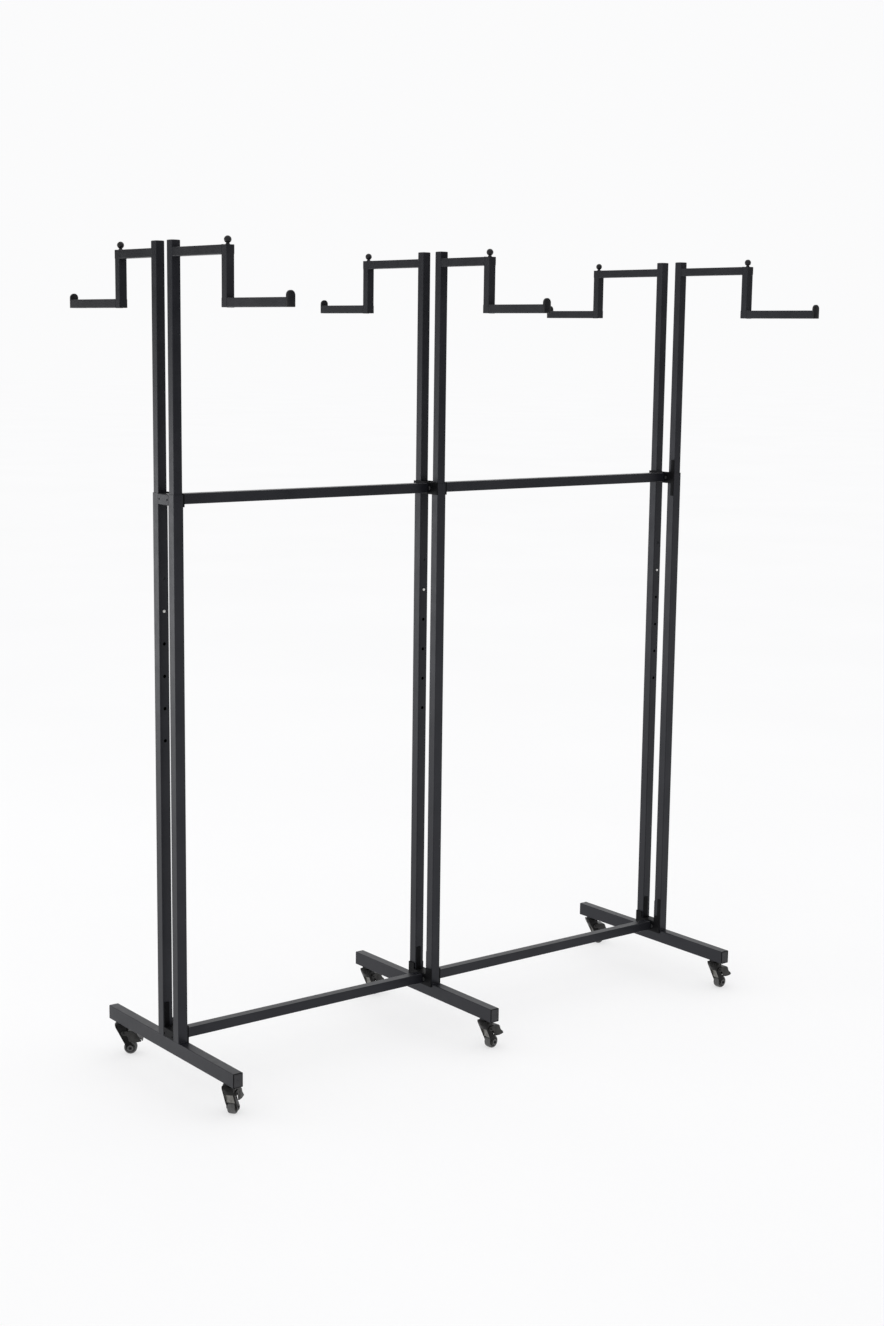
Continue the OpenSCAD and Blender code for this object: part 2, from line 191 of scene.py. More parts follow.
def arc(cx, cz, r, start, end, steps):
    return [(cx + r * math.cos(math.radians(start + (end - start) * i / steps)),
             cz + r * math.sin(math.radians(start + (end - start) * i / steps))) for i in range(steps + 1)]


def hexagon_lathe(levels, steps=48):
    """Turns levels (outer radius or hexagon's half width, z, is_hexagon) about the z axis."""
    loops = []
    for size, z, is_hexagon in levels:
        loop = []
        for i in range(steps):
            a = 2 * math.pi * i / steps
            r = size
            if is_hexagon:
                r = size / math.cos((a % (math.pi / 3)) - math.pi / 6)
            loop.append((r * math.cos(a), r * math.sin(a), z))
        loops.append(loop)
    return rings(loops)


# ---- Materials ----

def base_material(name):
    material = bpy.data.materials.new(name)
    material.use_nodes = True
    nodes = material.node_tree.nodes
    links = material.node_tree.links
    shader = nodes["Principled BSDF"]
    coords = nodes.new("ShaderNodeTexCoord")
    return material, nodes, links, shader, coords.outputs["Object"]


def noise(nodes, links, coords, scale, detail=4.0, roughness=0.55):
    node = nodes.new("ShaderNodeTexNoise")
    node.inputs["Scale"].default_value = scale
    node.inputs["Detail"].default_value = detail
    node.inputs["Roughness"].default_value = roughness
    links.new(coords, node.inputs["Vector"])
    return node.outputs["Fac"]


def ramp(nodes, links, source, low, high, start=0.35, end=0.65):
    """A ramp from one grey or colour to another."""
    node = nodes.new("ShaderNodeValToRGB")
    node.color_ramp.elements[0].position = start
    node.color_ramp.elements[1].position = end
    node.color_ramp.elements[0].color = (*low, 1)
    node.color_ramp.elements[1].color = (*high, 1)
    links.new(source, node.inputs["Fac"])
    return node.outputs["Color"]


def span(nodes, links, source, low, high):
    node = nodes.new("ShaderNodeMapRange")
    node.inputs["From Min"].default_value = 0.3
    node.inputs["From Max"].default_value = 0.7
    node.inputs["To Min"].default_value = low
    node.inputs["To Max"].default_value = high
    links.new(source, node.inputs["Value"])
    return node.outputs["Result"]


def stretched(nodes, links, coords, scale):
    node = nodes.new("ShaderNodeMapping")
    node.inputs["Scale"].default_value = scale
    links.new(coords, node.inputs["Vector"])
    return node.outputs["Vector"]


def bump(nodes, links, heights, shader):
    """Stacks bumps: each height is (source, strength, distance in metres)."""
    previous = None
    for source, strength, distance in heights:
        node = nodes.new("ShaderNodeBump")
        node.inputs["Strength"].default_value = strength
        node.inputs["Distance"].default_value = distance
        links.new(source, node.inputs["Height"])
        if previous:
            links.new(previous, node.inputs["Normal"])
        previous = node.outputs["Normal"]
    links.new(previous, shader.inputs["Normal"])


def powder_coat(name, dark, light, rough, gloss, peel=0.10):
    """Black powder coat: a fine orange peel, faint cloudiness, and sparse specks of dust and handling."""
    material, nodes, links, shader, coords = base_material(name)
    clouds = noise(nodes, links, coords, 9.0, 5.0)
    specks = noise(nodes, links, coords, 2600.0, 2.0, 0.7)
    mixed = nodes.new("ShaderNodeMix")
    mixed.data_type = "RGBA"
    mixed.blend_type = "MULTIPLY"
    mixed.inputs["Factor"].default_value = 0.35
    links.new(ramp(nodes, links, clouds, dark, light), mixed.inputs["A"])
    links.new(ramp(nodes, links, specks, (0.7, 0.7, 0.7), (1, 1, 1), 0.4, 0.55), mixed.inputs["B"])
    links.new(mixed.outputs["Result"], shader.inputs["Base Color"])
    streaks = noise(nodes, links, stretched(nodes, links, coords, (45.0, 45.0, 30.0)), 1.0, 5.0)
    links.new(span(nodes, links, streaks, rough - 0.03, rough + 0.04), shader.inputs["Roughness"])
    shader.inputs["Specular IOR Level"].default_value = gloss
    shader.inputs["Specular Tint"].default_value = (0.90, 0.92, 1.0, 1.0)
    orange_peel = noise(nodes, links, coords, 650.0, 3.0)
    grit = noise(nodes, links, coords, 2400.0, 2.0)
    bump(nodes, links, [(orange_peel, peel, 0.00015), (grit, peel * 0.5, 0.00005)], shader)
    return material


def moulded(name, dark, light, rough, gloss, grain=1500.0):
    """Moulded plastic: fine spark-eroded grain with scuffs that run over it."""
    material, nodes, links, shader, coords = base_material(name)
    clouds = noise(nodes, links, coords, 60.0, 5.0)
    links.new(ramp(nodes, links, clouds, dark, light), shader.inputs["Base Color"])
    scuffs = noise(nodes, links, stretched(nodes, links, coords, (900.0, 120.0, 300.0)), 1.0, 4.0, 0.7)
    links.new(span(nodes, links, scuffs, rough - 0.08, rough + 0.1), shader.inputs["Roughness"])
    shader.inputs["Specular IOR Level"].default_value = gloss
    fine = noise(nodes, links, coords, grain, 2.0)
    flow = noise(nodes, links, coords, 220.0, 3.0)
    bump(nodes, links, [(fine, 0.35, 0.00008), (flow, 0.2, 0.0002)], shader)
    return material


def plated(name, dark, light, rough, metallic=1.0):
    """Plated steel with turning marks and small stains."""
    material, nodes, links, shader, coords = base_material(name)
    stains = noise(nodes, links, coords, 180.0, 5.0)
    links.new(ramp(nodes, links, stains, dark, light), shader.inputs["Base Color"])
    marks = noise(nodes, links, stretched(nodes, links, coords, (400.0, 400.0, 3000.0)), 1.0, 3.0)
    links.new(span(nodes, links, marks, rough - 0.08, rough + 0.12), shader.inputs["Roughness"])
    shader.inputs["Metallic"].default_value = metallic
    bump(nodes, links, [(marks, 0.2, 0.00005)], shader)
    return material


LOOKS = {
    "tube_black": powder_coat("tube_black", (0.0070, 0.0072, 0.0095), (0.0120, 0.0122, 0.0150), 0.36, 0.30),
    "arm_black": powder_coat("arm_black", (0.0070, 0.0072, 0.0090), (0.0120, 0.0122, 0.0145), 0.38, 0.30),
    "bracket_black": powder_coat(
        "bracket_black", (0.0025, 0.0025, 0.0028), (0.0045, 0.0045, 0.0050), 0.45, 0.08),
    "fastener_steel": plated("fastener_steel", (0.010, 0.010, 0.011), (0.020, 0.020, 0.022), 0.42, 0.5),
    "plug_plastic": moulded("plug_plastic", (0.0180, 0.0180, 0.0205), (0.0280, 0.0280, 0.0310), 0.50, 0.34),
    "stop_plastic": moulded("stop_plastic", (0.0050, 0.0050, 0.0060), (0.0090, 0.0090, 0.0105), 0.38, 0.28),
    "zinc": plated("zinc", (0.15, 0.148, 0.138), (0.24, 0.235, 0.22), 0.38),
    "button_steel": plated("button_steel", (0.62, 0.62, 0.60), (0.80, 0.80, 0.78), 0.28),
    "caster_fork": moulded("caster_fork", (0.0030, 0.0029, 0.0027), (0.0055, 0.0054, 0.0051), 0.26, 0.13),
    "caster_wheel": moulded(
        "caster_wheel", (0.0720, 0.0718, 0.0714), (0.0980, 0.0976, 0.0970), 0.50, 0.30, 900.0),
    "wheel_hub": moulded("wheel_hub", (0.0450, 0.0450, 0.0454), (0.0650, 0.0648, 0.0645), 0.42, 0.30),
    # The pedal's cheeks are the pedal's own black plastic, given a lighter grey: painted light on the pedal's
    # sides
    "pedal_cheek_painted_light": moulded("pedal_cheek_painted_light", (0.0260, 0.0255, 0.0246), (0.0400, 0.0394, 0.0380), 0.48, 0.16),
    "pedal_plastic": moulded("pedal_plastic", (0.0040, 0.0039, 0.0038), (0.0075, 0.0074, 0.0071), 0.28, 0.14),
}


# ---- CAD nodes that stay ----

SLOT_OF = {row["node"]: row["material_slot"] for row in frame["record"]["subparts"]}
for node_name, node in frame["nodes"].items():
    look = LOOKS[SLOT_OF[node_name]]
    if not node.data.materials:
        node.data.materials.append(look)
    for index in range(len(node.data.materials)):
        node.data.materials[index] = look


# ---- Weld beads, where tubes meet ----

BEAD_R = 1.1


def bead(path, closed, seed):
    """A weld bead along a path: a round string with the even ripples of a welder's puddles."""
    ripple_pitch = 1.7
    ring_pitch = 0.55
    sides = 10
    points = [Vector(p) for p in path]
    if closed:
        points.append(points[0])
    lengths = [(b - a).length for a, b in zip(points, points[1:])]
    total = sum(lengths)
    count = max(12, int(total / ring_pitch))
    loops = []
    for k in range(count if closed else count + 1):
        at = total * k / count
        i = 0
        while i < len(lengths) - 1 and at > lengths[i]:
            at -= lengths[i]
            i += 1
        here = points[i].lerp(points[i + 1], at / lengths[i])
        along = (points[i + 1] - points[i]).normalized()
        if closed:
            before = points[i - 1] if i else points[-2]
            after = points[(i + 2) % len(points)] if i + 2 < len(points) else points[1]
            turn_in = (points[i] - before).normalized()
            turn_out = (after - points[i + 1]).normalized()
            share = at / lengths[i]
            along = (turn_in * (1 - share) * 0.5 + along + turn_out * share * 0.5).normalized()
        side = Vector((0, 0, 1)) if abs(along.z) < 0.7 else Vector((1, 0, 0))
        u = along.cross(side).normalized()
        v = along.cross(u)
        phase = 2 * math.pi * total * k / count / ripple_pitch + seed
        r = BEAD_R * (1 + 0.10 * math.cos(phase))
        angles = [2 * math.pi * j / sides for j in range(sides)]
        loops.append([here + r * (math.cos(a) * u + math.sin(a) * v) for a in angles])
    return rings(loops, closed)


def square_bead(centre, size, corner, seed):
    """A bead round a square tube that runs along y."""
    sunk = 0.45
    path = [(centre[0] + x, centre[1], centre[2] + z)
            for x, z in rounded_rect(size - 2 * sunk, size - 2 * sunk, corner)]
    return bead(path, True, seed)


def reach_at_top(node_name):
    """How far from the middle plane the upper part of an arm reaches, in millimetres."""
    verts = frame["nodes"][node_name].data.vertices
    top = max(v.co.z for v in verts)
    return max(abs(v.co.y) for v in verts if v.co.z > top - 5 * MM) / MM


for order, (f, s) in enumerate(STATIONS):
    sign = -1 if s == "front" else 1
    low, high = (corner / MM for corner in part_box(f"arm_{f}_{s}"))
    x = (low.x + high.x) / 2
    mast_face = min(abs(low.y), abs(high.y))
    drop_out = reach_at_top(f"arm_{f}_{s}")
    upper_z = high.z - ARM_W / 2
    lower_z = low.z + ARM_W / 2
    new_piece(f"arm_welds_{f}_{s}", join([
        square_bead((x, sign * mast_face, upper_z), ARM_W, 1.5, order),
        square_bead((x, sign * (drop_out - ARM_W), upper_z), ARM_W, 1.5, order + 0.4),
        square_bead((x, sign * drop_out, lower_z), ARM_W, 1.5, order + 0.9),
    ]), LOOKS["arm_black"], f"mast_{f}_{s}")

welds = []
for order, (f, s) in enumerate(STATIONS):
    sign = -1 if s == "front" else 1
    low, high = (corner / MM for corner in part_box(f"upright_{f}_{s}"))
    outer_y = sign * max(abs(low.y), abs(high.y))
    side = UPRIGHT_W / 2 - TUBE_CORNER
    x = (low.x + high.x) / 2
    sunk = 0.4
    ends = [(x + end, outer_y - sign * sunk, low.z + sunk) for end in (-side, side)]
    welds.append(bead(ends, False, order))
new_piece("upright_welds", join(welds), LOOKS["tube_black"], "frame")


# ---- Caps on the masts and plugs in the feet ----

def cap(w, h, r, levels, closed=False):
    """A cap, or a closed rim, of stacked round-cornered outlines: each level is (inset, z)."""
    loops = []
    for inset, z in levels:
        radius = max(0.3, r - inset)
        loops.append([(px, py, z) for px, py in rounded_rect(w - 2 * inset, h - 2 * inset, radius)])
    return rings(loops, closed)


for f, s in STATIONS:
    low, high = (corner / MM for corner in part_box(f"mast_{f}_{s}"))
    width = high.x - low.x
    dome = cap(width, width, 1.5, [
        (0.15, -0.4), (0.15, 0.1), (0.5, 0.55), (1.4, 0.95), (3.5, 1.3), (7.0, 1.5)])
    placed(dome, Matrix.Translation(((low.x + high.x) / 2, (low.y + high.y) / 2, high.z)))
    new_piece(f"mast_cap_{f}_{s}", dome, LOOKS["plug_plastic"], f"mast_{f}_{s}")

plugs = []
rims_painted_shade = []
for f in ("left", "middle", "right"):
    low, high = (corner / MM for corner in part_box(f"foot_{f}"))
    for sign in (-1, 1):
        end = ((low.x + high.x) / 2, high.y if sign > 0 else low.y, (low.z + high.z) / 2)
        to_end = Matrix.Translation(end) @ Matrix.Rotation(math.radians(-90 * sign), 4, "X")
        face = cap(FOOT_W, FOOT_H, TUBE_CORNER, [
            (2.2, -8.0), (1.7, -7.0), (1.7, 0.9), (2.0, 1.5), (2.8, 1.7), (7.5, 1.45)])
        # Round mark where the plug was injected
        gate = lathe([(0.3, 1.2), (2.6, 1.2), (2.6, 1.65), (2.3, 1.85), (1.9, 1.85), (1.6, 1.55), (0.3, 1.5)],
                     32, closed=False)
        plugs.append(placed(join([face, gate]), to_end))
        # The plugs' rims are the plugs' own plastic, given the brackets' near-black: painted shade along the seam
        # between plug and tube
        rim = [(1.8, 0.3), (0.5, 0.3), (0.05, 0.7), (0.05, 1.5), (0.5, 2.0), (1.3, 2.0), (1.8, 1.5)]
        rims_painted_shade.append(placed(cap(FOOT_W, FOOT_H, TUBE_CORNER, rim, closed=True), to_end))
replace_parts(new_piece("foot_plugs", join(plugs), LOOKS["plug_plastic"], "frame"),
            "foot_end_plugs")
# Near-black on the plug rims is painted shade at the seam, darker than the plug faces
new_piece("foot_plug_rims_painted_shade", join(rims_painted_shade), LOOKS["bracket_black"], "frame")


# ---- Stops on the arms ----

def knob():
    """Ball on a turned neck with a collar."""
    neck = [(0.4, -0.4), (5.0, -0.4), (5.0, 0.9), (4.4, 1.4), (3.9, 2.4), (3.9, 3.6), (4.3, 4.2)]
    ball_r = 8.0
    centre = 10.5
    start = math.degrees(math.asin(-0.78))
    return lathe(neck + arc(0, centre, ball_r, start, 88, 22), 48, closed=False)


def end_cap():
    """Cap for a 20 mm tube that ends at y = 0, with a round-topped tongue that stands above it."""
    cap_t = 6.0
    tongue_top = 14.0
    half = ARM_W / 2
    corner = 1.5
    outline = (arc(0, tongue_top, half, 0, 180, 24)
               + arc(corner - half, corner - half, corner, 180, 270, 5)
               + arc(half - corner, corner - half, corner, 270, 360, 5))
    loops = []
    levels = ((0.3, -cap_t), (0.0, -cap_t + 0.3), (0.0, -1.4), (0.25, -0.75), (0.75, -0.25), (1.5, 0.0))
    for inset, y in levels:
        shrink = (half - inset) / half
        middle = (tongue_top - half) / 2
        tall = (tongue_top + 2 * half) / 2
        loops.append([(x * shrink, y, middle + (z - middle) * (tall - inset) / tall) for x, z in outline])
    shank_w = ARM_W - 2.6
    inner = cap(shank_w, shank_w, 1.0, [(0.6, -cap_t - 12.0), (0.0, -cap_t - 11.0), (0.0, -cap_t + 0.05)])
    placed(inner, Matrix.Rotation(math.radians(-90), 4, "X"))
    return join([rings(loops), inner])


for f, s in STATIONS:
    sign = -1 if s == "front" else 1
    low, high = (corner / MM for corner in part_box(f"arm_{f}_{s}"))
    stop_low, stop_high = (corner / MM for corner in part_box(f"arm_stops_{f}_{s}"))
    x = (low.x + high.x) / 2
    drop_y = reach_at_top(f"arm_{f}_{s}") - ARM_W / 2
    tip_y = max(abs(stop_low.y), abs(stop_high.y))
    flip = Matrix.Scale(sign, 4, (0, 1, 0))
    ball = placed(knob(), Matrix.Translation((x, sign * drop_y, high.z)))
    tip = placed(end_cap(), Matrix.Translation((x, sign * tip_y, low.z + ARM_W / 2)) @ flip)
    stops = new_piece(f"stops_{f}_{s}", join([ball, tip]), LOOKS["stop_plastic"],
                      f"mast_{f}_{s}")
    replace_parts(stops, f"arm_stops_{f}_{s}")


# ---- Bolts, stems and nuts ----

def islands(node_name):
    """The boxes of a node's separate solids, in millimetres."""
    mesh = frame["nodes"][node_name].data
    bm = bmesh.new()
    bm.from_mesh(mesh)
    bmesh.ops.remove_doubles(bm, verts=bm.verts, dist=1e-6)
    left = set(bm.verts)
    boxes = []
    while left:
        stack = [left.pop()]
        points = []
        while stack:
            vert = stack.pop()
            points.append(vert.co / MM)
            for edge in vert.link_edges:
                other = edge.other_vert(vert)
                if other in left:
                    left.remove(other)
                    stack.append(other)
        boxes.append((Vector([min(p[i] for p in points) for i in range(3)]),
                      Vector([max(p[i] for p in points) for i in range(3)])))
    bm.free()
    return sorted(boxes, key=lambda b: tuple(round(c, 2) for c in (*b[0], *b[1])))


def bolt():
    """Button-head bolt with a hexagon socket, its head's seat at z = 0."""
    return hexagon_lathe([
        (2.0, -12.0, False), (2.5, -11.4, False), (2.5, 0.0, False), (4.5, 0.02, False), (4.5, 0.7, False),
        (4.25, 1.4, False), (3.6, 2.2, False), (2.6, 2.72, False), (1.9, BOLT_HEAD_H, False),
        (1.55, 2.75, True), (1.5, 1.3, True), (0.5, 1.0, False)])


def stem():
    """Caster stem with its washer above the crown and its head below it."""
    return lathe([(0.3, -19.3), (8.2, -19.3), (9.0, -18.6), (9.0, -16.9), (8.6, -16.3), (5.0, -16.3),
                  (5.0, -2.0), (12.6, -2.0), (13.5, -1.6), (13.5, -0.4), (13.2, 0.0), (5.0, 0.0),
                  (5.0, 10.6), (4.2, 11.5), (0.3, 11.5)], closed=False)


def nut():
    return hexagon_lathe([(5.3, 1.5, False), (7.2, 1.5, True), (7.8, 2.0, True), (7.8, 7.0, True),
                          (7.2, 7.5, True), (5.3, 7.5, False)])


bolts = []
frame_x = sorted({round(JOINTS[f"caster_swivel_{f}_front"]["pos_m"][0] / MM, 3) for f, _ in STATIONS})
for low, high in islands("frame_fasteners"):
    size = high - low
    if size.x > size.y + 1 and size.z < 12:
        middle = (low + high) / 2
        nearest = min(frame_x, key=lambda fx: abs(fx - middle.x))
        outward = 1 if middle.x > nearest else -1
        seat = (high.x if outward > 0 else low.x) - outward * BOLT_HEAD_H
        turn = Matrix.Rotation(math.radians(90 * outward), 4, "Y")
        bolts.append(placed(bolt(), Matrix.Translation((seat, middle.y, middle.z)) @ turn))
for f, s in STATIONS:
    swivel = Vector(JOINTS[f"caster_swivel_{f}_{s}"]["pos_m"]) / MM
    bolts.append(placed(stem(), Matrix.Translation(swivel)))
    bolts.append(placed(nut(), Matrix.Translation(swivel)))
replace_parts(new_piece("fasteners", join(bolts), LOOKS["fastener_steel"], "frame"),
            "frame_fasteners")


# ---- Casters ----

def caster_matrix(f, s):
    """From the caster's own frame to the row frame, in millimetres."""
    swivel = Vector(JOINTS[f"caster_swivel_{f}_{s}"]["pos_m"]) / MM
    axle = Vector(JOINTS[f"wheel_roll_{f}_{s}"]["pos_m"]) / MM
    heading = math.atan2(axle.y - swivel.y, axle.x - swivel.x)
    return Matrix.Translation(swivel) @ Matrix.Rotation(heading, 4, "Z")


def in_caster(f, s, joint):
    """A joint's place in the caster's own frame, in millimetres."""
    return caster_matrix(f, s).inverted() @ (Vector(JOINTS[f"{joint}_{f}_{s}"]["pos_m"]) / MM)


def about_y(bm, x, z):
    """Turns a shape drawn about the z axis so that it lies about the y axis at x, z."""
    return placed(bm, Matrix.Translation((x, 0, z)) @ Matrix.Rotation(math.radians(90), 4, "X"))


def leg_side(axle):
    """Side of a fork leg: from the crown down to a round boss about the axle, with a swept leading edge."""
    ax, az = axle.x, axle.z
    front = spline([(-CROWN_R, -4), (-13.4, -11), (-6.2, -25), (3.0, -43), (10.6, -57.5)], 8)
    boss = arc(ax, az, BOSS_R, 205, 375, 20)
    back = spline([(ax + 5.0, az + 8), (18.6, -43), (14.2, -33), (13.6, -18), (14.0, -4)], 8)
    return [tuple(p) for p in front] + boss + [tuple(p) for p in back]


def fork(axle):
    """Fork: grooved crown, two swept legs with a rib and a boss ring, and a bowed hood between their tops."""
    crown = lathe([
        (STEM_BORE_R, CROWN_TOP), (12.6, CROWN_TOP), (14.0, -2.9), (CROWN_R, -4.4), (CROWN_R, -7.4),
        (14.3, -8.0), (14.3, -9.0), (CROWN_R, -9.6), (CROWN_R, -14.8), (14.2, CROWN_BOTTOM),
        (STEM_BORE_R, CROWN_BOTTOM)])
    parts = [crown, hood()]
    outline = leg_side(axle)
    rim = spline([(-12.4, -7), (-10.8, -13), (-4.0, -26), (5.2, -44), (11.8, -56.5)], 8)
    strip = [(p[0] - 0.9, p[1]) for p in rim] + [(p[0] + 1.3, p[1]) for p in rim[::-1]]
    for side in (-1, 1):
        parts.append(bevelled(prism(outline, side * LEG_IN, side * LEG_OUT), 0.7, 2, 50.0))
        parts.append(bevelled(prism(strip, side * (LEG_OUT - 0.5), side * (LEG_OUT + 0.9)), 0.4, 2, 50.0))
    return join(parts)


def hood():
    """Bowed sheet that closes the fork's leading side, from the crown down between the tops of its legs."""
    line = spline([(-14.4, -5), (-13.6, -11), (-9.6, -19), (-5.0, -27)], 8)
    thick = 2.2
    across = 14
    bow = 1.6
    half = LEG_IN + 0.6
    loops = []
    for p in line:
        outer = []
        inner = []
        for i in range(across + 1):
            t = 2 * i / across - 1
            lift = bow * (1 - t * t)
            outer.append((p[0] - lift, half * t, p[1]))
            inner.append((p[0] - lift + thick, half * t, p[1] + 0.3))
        loops.append(outer + inner[::-1])
    return rings(loops)


def steel(axle):
    """Bright steel inside the fork: plates on the legs' inner faces, and a web ahead of the wheel."""
    inset = 1.2
    top = -17.5
    outline = [(x + (inset if x < axle.x - 8 else -inset), z) for x, z in leg_side(axle) if z < top]
    parts = [bevelled(prism(outline, side * (LEG_IN - 0.5), side * (LEG_IN + 0.2)), 0.15, 1, 50.0)
             for side in (-1, 1)]
    web = spline([(-1.2, -25.0), (2.6, -34.0), (6.0, -43.0), (8.0, -50.5)], 6)
    sheet = [(p[0], p[1]) for p in web] + [(p[0] + 1.2, p[1]) for p in web[::-1]]
    parts.append(bevelled(prism(sheet, -LEG_IN, LEG_IN), 0.2, 1, 50.0))
    return join(parts)


def washers(axle):
    """Dished washers between the fork's legs and the heads of the axle."""
    outer = BOSS_R - 0.2
    parts = []
    for side in (-1, 1):
        ring = lathe([(AXLE_R + 0.6, 0), (outer, 0), (outer, 0.8), (outer - 0.6, 1.2), (outer - 1.6, 1.1),
                      (AXLE_R + 1.0, 0.7), (AXLE_R + 0.6, 0.5)], 48)
        turn = Matrix.Rotation(math.radians(-90 * side), 4, "X")
        parts.append(placed(ring, Matrix.Translation((axle.x, side * (LEG_OUT - 0.2), axle.z)) @ turn))
    return join(parts)


def rivet(r, head_r, half):
    """Hollow rivet about the z axis: a shank with a rolled, deeply dished head at each end."""
    side = [(r, half), (head_r - 0.3, half), (head_r, half + 0.5), (head_r - 0.4, half + 1.4),
            (head_r * 0.72, half + 1.9), (head_r * 0.55, half + 1.5), (head_r * 0.5, half - 1.5),
            (0.2, half - 1.6)]
    return lathe([(a, -b) for a, b in side[::-1]] + side, 48, closed=False)


def wheel():
    """Wheel about the z axis: a crowned tyre with two grooves over a hub with a dished, ribbed face."""
    half = WHEEL_W / 2
    shoulder = [(11.6, 0.9), (12.1, 0.2), (13.2, 0.0), (14.5, 0.5), (15.4, 1.6), (15.8, 3.0), (WHEEL_R, 5.2),
                (15.6, 5.6), (15.6, 6.2), (WHEEL_R, 6.6)]
    tyre = lathe([(r, -half + z) for r, z in shoulder] + [(r, half - z) for r, z in shoulder[::-1]], 96)
    face = [(AXLE_R + 0.05, half), (5.2, half), (5.6, half - 0.4), (5.8, half - 2.2), (6.5, half - 3.0),
            (9.4, half - 3.0), (10.4, half - 2.4), (10.8, half - 0.8), (11.65, half - 0.6)]
    hub = lathe(face + [(r, -z) for r, z in face[::-1]], 72)
    ribs = []
    rib_count = 6
    for side in (-1, 1):
        for i in range(rib_count):
            turn = Matrix.Rotation(2 * math.pi * i / rib_count, 4, "Z")
            place = turn @ Matrix.Translation((8.1, 0, side * (half - 2.0)))
            ribs.append(placed(rounded_block((5.2, 1.5, 2.2), 0.35), place))
    return tyre, join([hub] + ribs)


def pedal_shell():
    """Brake pedal's shell over the wheel, with a ribbed, upturned end, and the shoe that meets the tread."""
    end = PEDAL_REACH
    line = spline([(17.4, -20.7), (26.0, -20.9), (end - 19.5, -22.1), (end - 16.5, -24.6),
                   (end - 14.0, -31.5), (end - 10.4, -36.8), (end - 5.0, -40.6), (end - 1.6, -43.4),
                   (end - 1.4, -45.6)], 9)
    grip_low = -42.0
    grip_high = -24.0
    grip_pitch = 3.2
    sections = 18
    loops = []
    count = len(line) - 1
    for i, p in enumerate(line):
        ahead = line[min(i + 1, count)]
        behind = line[max(i - 1, 0)]
        along = Vector(ahead) - Vector(behind)
        normal = Vector((-along[1], along[0])).normalized()
        tip = min(1.0, max(0.0, (p[0] - end + 8.0) / 6.5))
        half = PEDAL_HALF_W - 3.5 * tip ** 2
        thick = 2.3 - 0.5 * tip
        grip = 0.0
        if grip_low < p[1] < grip_high:
            grip = 0.4 * max(0.0, math.cos((p[1] + 27.0) * 2 * math.pi / grip_pitch))
        top = []
        bottom = []
        for k in range(sections + 1):
            t = 2 * k / sections - 1
            edge = math.sqrt(max(0.0, 1 - abs(t) ** 10))
            inside = grip if abs(t) < 0.85 else 0.0
            up = thick / 2 * edge + inside
            down = -thick / 2 * edge
            top.append((p[0] + normal.x * up, half * t, p[1] + normal.y * up))
            bottom.append((p[0] + normal.x * down, half * t, p[1] + normal.y * down))
        loops.append(top + bottom[::-1][1:-1])
    shoe = placed(rounded_block((5.0, 14.0, 22.0), 0.6), Matrix.Translation((25.5, 0, -32.4)))
    return join([rings(loops), shoe])


def pedal_cheeks(pivot):
    """The pedal's two cheeks, from the pivot along the wheel to the end, each with a raised panel."""
    end = PEDAL_REACH
    outline = (arc(pivot.x, pivot.z, 5.5, 100, 262, 14)
               + [tuple(p) for p in spline([(13.5, -31.6), (16.8, -35.5), (17.6, -41.0), (18.4, -45.6)], 4)]
               + [tuple(p) for p in spline([(22.0, -46.9), (30.0, -47.8), (end - 13.0, -47.9),
                                            (end - 3.8, -46.0)], 4)]
               + [tuple(p) for p in spline([(end - 3.2, -43.2), (end - 11.0, -37.0), (end - 14.6, -31.3),
                                            (end - 17.4, -23.6)], 4)]
               + [(end - 20.0, -21.6), (26.0, -20.4), (17.0, -20.1)])
    panel = [(21.0, -24.6), (end - 20.4, -26.0), (end - 16.6, -35.0), (end - 11.5, -41.0),
             (end - 14.0, -44.6), (23.0, -43.6)]
    parts = []
    for side in (-1, 1):
        outside = side * PEDAL_HALF_W
        parts.append(bevelled(prism(outline, side * CHEEK_IN, outside), 0.6, 2, 40.0))
        parts.append(bevelled(prism(panel, outside - side * 0.2, outside + side * 0.45), 0.3, 2, 40.0))
    return join(parts)


for f, s in STATIONS:
    to_row = caster_matrix(f, s)
    axle = in_caster(f, s, "wheel_roll")
    pivot = in_caster(f, s, "brake_press")
    body = new_piece(f"fork_{f}_{s}", placed(fork(axle), to_row), LOOKS["caster_fork"],
                     f"caster_{f}_{s}")
    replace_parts(body, f"caster_yoke_{f}_{s}")
    new_piece(f"fork_steel_{f}_{s}", placed(steel(axle), to_row), LOOKS["zinc"],
              f"caster_{f}_{s}")
    new_piece(f"fork_washers_{f}_{s}", placed(washers(axle), to_row), LOOKS["caster_wheel"],
              f"caster_{f}_{s}")
    rivets = join([about_y(rivet(AXLE_R, 4.2, LEG_OUT + 0.05), axle.x, axle.z),
                   about_y(rivet(PIVOT_R, 3.4, PEDAL_HALF_W + 0.05), pivot.x, pivot.z)])
    new_piece(f"fork_rivets_{f}_{s}", placed(rivets, to_row), LOOKS["fastener_steel"],
              f"caster_{f}_{s}")
    tyre, hub = wheel()
    tyre = new_piece(f"tyre_{f}_{s}", placed(about_y(tyre, axle.x, axle.z), to_row), LOOKS["caster_wheel"],
                     f"wheel_{f}_{s}")
    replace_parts(tyre, f"caster_wheel_{f}_{s}")
    new_piece(f"hub_{f}_{s}", placed(about_y(hub, axle.x, axle.z), to_row), LOOKS["wheel_hub"],
              f"wheel_{f}_{s}")
    lever = new_piece(f"pedal_{f}_{s}", placed(pedal_shell(), to_row), LOOKS["pedal_plastic"],
                      f"pedal_{f}_{s}")
    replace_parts(lever, f"brake_pedal_{f}_{s}")
    # The cheeks' lighter grey is painted light on the pedal's sides, not a plastic of its own
    new_piece(f"pedal_cheeks_{f}_{s}", placed(pedal_cheeks(pivot), to_row), LOOKS["pedal_cheek_painted_light"],
              f"pedal_{f}_{s}")


# ---- Floor, light and camera ----

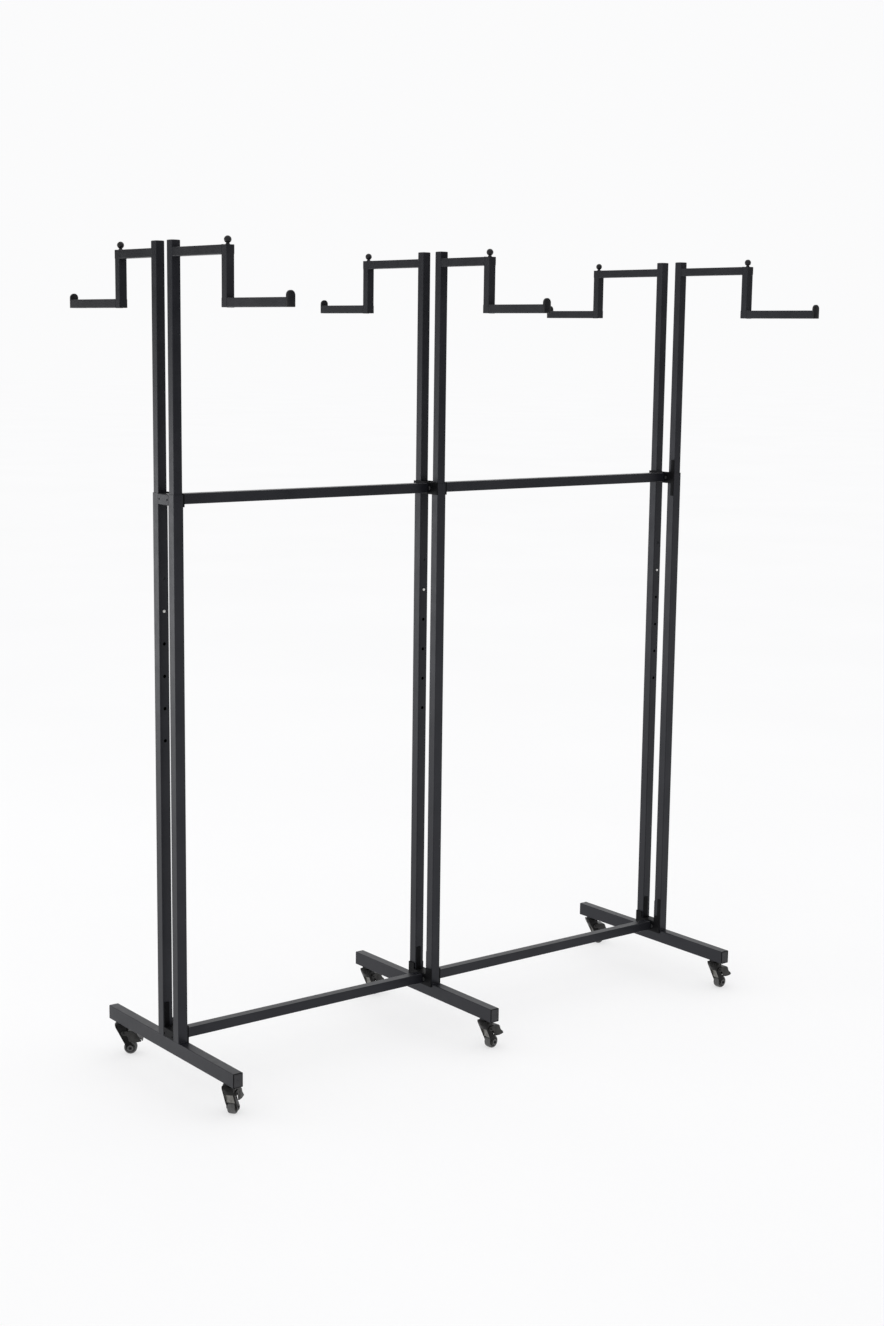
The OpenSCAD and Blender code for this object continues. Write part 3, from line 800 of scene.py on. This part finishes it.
def floor_material():
    material, nodes, links, shader, coords = base_material("studio_floor")
    clouds = noise(nodes, links, coords, 0.7, 3.0)
    grey = ramp(nodes, links, clouds, (0.43, 0.43, 0.434), (0.44, 0.44, 0.444))
    links.new(grey, shader.inputs["Base Color"])
    shader.inputs["Roughness"].default_value = 0.9
    shader.inputs["Specular IOR Level"].default_value = 0.0
    shader.inputs["Emission Color"].default_value = (1.0, 1.0, 1.0, 1.0)
    shader.inputs["Emission Strength"].default_value = 0.545
    return material


def card_mesh(name, width, height, material):
    """A flat rectangle about the origin."""
    w = width / 2
    h = height / 2
    mesh = bpy.data.meshes.new(name)
    mesh.from_pydata([(-w, -h, 0), (w, -h, 0), (w, h, 0), (-w, h, 0)], [], [(0, 1, 2, 3)])
    mesh.materials.append(material)
    return mesh


def aimed(place, target):
    """The turn that points an object's -z axis from a place at a target."""
    return (Vector(target) - Vector(place)).to_track_quat("-Z", "Y").to_euler()


FLOOR_W = 120.0
floor = bpy.data.objects.new("floor", card_mesh("floor", FLOOR_W, FLOOR_W, floor_material()))
bpy.context.scene.collection.objects.link(floor)

world = bpy.data.worlds.new("studio")
world.use_nodes = True
world.node_tree.nodes["Background"].inputs["Color"].default_value = (0.965, 0.965, 0.97, 1.0)
world.node_tree.nodes["Background"].inputs["Strength"].default_value = 1.0
bpy.context.scene.world = world


def softbox(name, place, target, size, power):
    light = bpy.data.lights.new(name, "AREA")
    light.shape = "RECTANGLE"
    light.size, light.size_y = size
    light.energy = power
    lamp = bpy.data.objects.new(name, light)
    lamp.location = place
    lamp.visible_camera = False
    lamp.rotation_euler = aimed(place, target)
    bpy.context.scene.collection.objects.link(lamp)


softbox("key_back_left", (-3.6, 3.4, 0.65), (-0.4, 0.0, 0.6), (2.6, 1.2), 25.0)
softbox("top", (0.2, 0.2, 4.2), (0.0, 0.0, 0.0), (3.0, 3.0), 6.0)


def flag(name, place, target, size):
    """Black studio flag: it darkens what the tubes reflect, and the camera doesn't see it."""
    material, nodes, links, shader, coords = base_material(name)
    weave = noise(nodes, links, coords, 400.0, 3.0)
    black = ramp(nodes, links, weave, (0.02, 0.02, 0.02), (0.03, 0.03, 0.03))
    links.new(black, shader.inputs["Base Color"])
    shader.inputs["Roughness"].default_value = 1.0
    shader.inputs["Specular IOR Level"].default_value = 0.0
    card = bpy.data.objects.new(name, card_mesh(name, size[0], size[1], material))
    card.location = place
    card.rotation_euler = aimed(place, target)
    card.visible_camera = False
    card.visible_shadow = False
    card.visible_diffuse = False
    bpy.context.scene.collection.objects.link(card)


flag("flag_front_right", (3.2, -3.9, 2.3), (3.2, 0.0, 2.3), (5.6, 2.6))
flag("flag_back_left", (-3.1, 4.3, 2.7), (-3.1, 0.0, 2.7), (3.0, 2.2))

camera_data = bpy.data.cameras.new("camera")
camera_data.sensor_width = 36.0
camera_data.lens = 54.07
camera_data.clip_end = 200.0
camera = bpy.data.objects.new("camera", camera_data)
yaw = 0.66045
pitch = 0.16330
roll = 0.01309
place = (-3.04059, -3.90493, 1.74670)
forward = Vector((math.sin(yaw) * math.cos(pitch), math.cos(yaw) * math.cos(pitch), -math.sin(pitch)))
level = Vector((math.cos(yaw), -math.sin(yaw), 0))
upright = level.cross(forward)
right = math.cos(roll) * level + math.sin(roll) * upright
up = -math.sin(roll) * level + math.cos(roll) * upright
camera.matrix_world = Matrix.Translation(place) @ Matrix((right, up, -forward)).transposed().to_4x4()
bpy.context.scene.collection.objects.link(camera)
bpy.context.scene.camera = camera
bpy.context.scene.view_settings.view_transform = "Standard"
bpy.context.scene.view_settings.look = "None"

bpy.context.view_layer.update()
